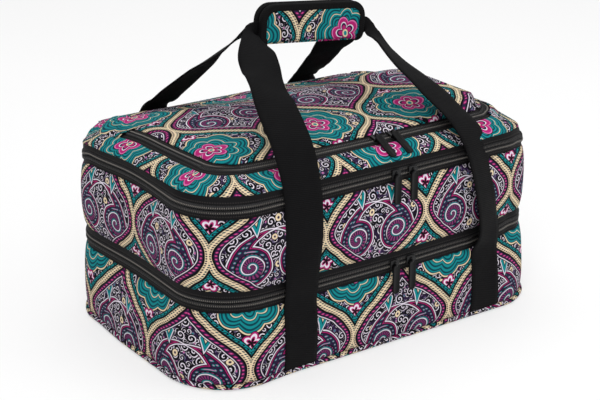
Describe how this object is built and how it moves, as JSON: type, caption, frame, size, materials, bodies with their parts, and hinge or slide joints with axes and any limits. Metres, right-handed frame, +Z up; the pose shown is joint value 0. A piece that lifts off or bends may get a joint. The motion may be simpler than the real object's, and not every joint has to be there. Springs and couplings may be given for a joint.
{
  "type": "insulated casserole carrier",
  "caption": "Soft insulated two-deck carrier for casserole dishes: zipped base, zipped upper tray and lid, zipped top flap, webbing handles joined by a padded wrap grip.",
  "frame": {"origin": "on the floor under the middle of the carrier's box", "axes": "+X along the carrier's length, -Y out of the front with the zip pulls, +Z up"},
  "size_m": [0.4264, 0.2982, 0.3321],
  "materials": {
    "print_fabric": "printed woven polyester",
    "webbing": "woven black webbing",
    "zip_tape": "woven black tape",
    "zip_coil": "black nylon coil",
    "slider_metal": "black enamel",
    "pull_tab": "satin black",
    "insulation_foam": "closed-cell foam",
    "liner_film": "silver insulating film",
    "stiffener_board": "hollow plastic board",
    "fastener_tape": "hook and loop tape"
  },
  "bodies": {
    "base": {"base_bottom_panel": "print_fabric", "base_stiffener_board": "stiffener_board", "base_welt": "print_fabric", "base_outer_shell": "print_fabric", "base_foam": "insulation_foam", "base_liner": "liner_film", "lower_zip_tape_base": "zip_tape", "lower_zip_coil_base": "zip_coil", "front_leg_left": "webbing", "front_leg_right": "webbing", "rear_leg_left": "webbing", "rear_leg_right": "webbing"},
    "tray": {"tray_outer_shell": "print_fabric", "tray_foam": "insulation_foam", "tray_liner": "liner_film", "tray_underside_lining": "liner_film", "lower_zip_tape_tray": "zip_tape", "lower_zip_coil_tray": "zip_coil", "middle_zip_tape_tray": "zip_tape", "middle_zip_coil_tray": "zip_coil", "rear_tray_strap_left": "webbing", "rear_tray_strap_right": "webbing"},
    "lid": {"lid_shoulder": "print_fabric", "lid_foam": "insulation_foam", "lid_underside_lining": "liner_film", "lid_pocket_lining": "liner_film", "middle_zip_tape_lid": "zip_tape", "middle_zip_coil_lid": "zip_coil", "top_zip_tape_lid": "zip_tape", "top_zip_coil_lid": "zip_coil"},
    "flap": {"flap_cover": "print_fabric", "flap_padding": "insulation_foam", "flap_lining": "liner_film", "top_zip_tape_flap": "zip_tape", "top_zip_coil_flap": "zip_coil"},
    "front_handle": {"front_handle_loop": "webbing"},
    "rear_handle": {"rear_handle_loop": "webbing", "grip_pad": "print_fabric", "grip_pad_binding": "webbing", "grip_loop_tape": "fastener_tape"},
    "grip_front": {"grip_flap": "print_fabric", "grip_flap_binding": "webbing", "grip_hook_tape": "fastener_tape"},
    "lower_slider_left": {"lower_slider_left": "slider_metal"},
    "lower_slider_right": {"lower_slider_right": "slider_metal"},
    "middle_slider_left": {"middle_slider_left": "slider_metal"},
    "middle_slider_right": {"middle_slider_right": "slider_metal"},
    "top_slider_left": {"top_slider_left": "slider_metal"},
    "top_slider_right": {"top_slider_right": "slider_metal"},
    "lower_pull_left": {"lower_pull_left": "pull_tab"},
    "lower_pull_right": {"lower_pull_right": "pull_tab"},
    "middle_pull_left": {"middle_pull_left": "pull_tab"},
    "middle_pull_right": {"middle_pull_right": "pull_tab"},
    "top_pull_left": {"top_pull_left": "pull_tab"},
    "top_pull_right": {"top_pull_right": "pull_tab"}
  },
  "joints": [
    {"name": "upper_open", "type": "hinge", "parent": "base", "child": "tray", "pos_m": [0, 0.142, 0.087], "axis": [-1, 0, 0], "range_deg": [0, 75], "deforming": ["front_handle_loop"]},
    {"name": "lid_open", "type": "hinge", "parent": "tray", "child": "lid", "pos_m": [0, 0.142, 0.183], "axis": [1, 0, 0], "range_deg": [-95, 0], "deforming": ["front_handle_loop"]},
    {"name": "flap_open", "type": "hinge", "parent": "lid", "child": "flap", "pos_m": [0, 0.11076, 0.20903], "axis": [-1, 0, 0], "range_deg": [0, 105], "deforming": ["front_handle_loop"]},
    {"name": "front_handle_swing", "type": "hinge", "parent": "base", "child": "front_handle", "pos_m": [0, -0.1431, 0.064], "axis": [1, 0, 0], "range_deg": [0, 110], "deforming": ["front_handle_loop"]},
    {"name": "rear_handle_swing", "type": "hinge", "parent": "lid", "child": "rear_handle", "pos_m": [0, 0.1423, 0.187], "axis": [-1, 0, 0], "range_deg": [0, 90], "deforming": ["rear_handle_loop"]},
    {"name": "grip_flap_open", "type": "hinge", "parent": "rear_handle", "child": "grip_front", "pos_m": [0.0078, -0.00205, 0.28512], "axis": [0.9945, 0, -0.1045], "range_deg": [0, 150]},
    {"name": "lower_zip_left", "type": "slide", "parent": "base", "child": "lower_slider_left", "axis": [1, 0, 0], "range_m": [-0.1505, 0]},
    {"name": "lower_zip_right", "type": "slide", "parent": "base", "child": "lower_slider_right", "axis": [1, 0, 0], "range_m": [0, 0.1115]},
    {"name": "middle_zip_left", "type": "slide", "parent": "tray", "child": "middle_slider_left", "axis": [1, 0, 0], "range_m": [-0.1505, 0]},
    {"name": "middle_zip_right", "type": "slide", "parent": "tray", "child": "middle_slider_right", "axis": [1, 0, 0], "range_m": [0, 0.1115]},
    {"name": "top_zip_left", "type": "slide", "parent": "lid", "child": "top_slider_left", "axis": [1, 0, 0], "range_m": [-0.1505, 0]},
    {"name": "top_zip_right", "type": "slide", "parent": "lid", "child": "top_slider_right", "axis": [1, 0, 0], "range_m": [0, 0.1115]},
    {"name": "lower_pull_left_swing", "type": "hinge", "parent": "lower_slider_left", "child": "lower_pull_left", "pos_m": [0.009, -0.1461, 0.0847], "axis": [-1, 0, 0], "range_deg": [0, 100]},
    {"name": "lower_pull_right_swing", "type": "hinge", "parent": "lower_slider_right", "child": "lower_pull_right", "pos_m": [0.03, -0.1461, 0.0847], "axis": [-1, 0, 0], "range_deg": [0, 100]},
    {"name": "middle_pull_left_swing", "type": "hinge", "parent": "middle_slider_left", "child": "middle_pull_left", "pos_m": [0.009, -0.1461, 0.1807], "axis": [-1, 0, 0], "range_deg": [0, 100]},
    {"name": "middle_pull_right_swing", "type": "hinge", "parent": "middle_slider_right", "child": "middle_pull_right", "pos_m": [0.03, -0.1461, 0.1807], "axis": [-1, 0, 0], "range_deg": [0, 100]},
    {"name": "top_pull_left_swing", "type": "hinge", "parent": "top_slider_left", "child": "top_pull_left", "pos_m": [0.009, -0.11422, 0.21342], "axis": [-1, 0, 0], "range_deg": [0, 140]},
    {"name": "top_pull_right_swing", "type": "hinge", "parent": "top_slider_right", "child": "top_pull_right", "pos_m": [0.03, -0.11422, 0.21342], "axis": [-1, 0, 0], "range_deg": [0, 140]}
  ],
  "couplings": [
    {"joint": "rear_handle_swing", "follows": "flap_open", "ratio": 0.85}
  ]
}
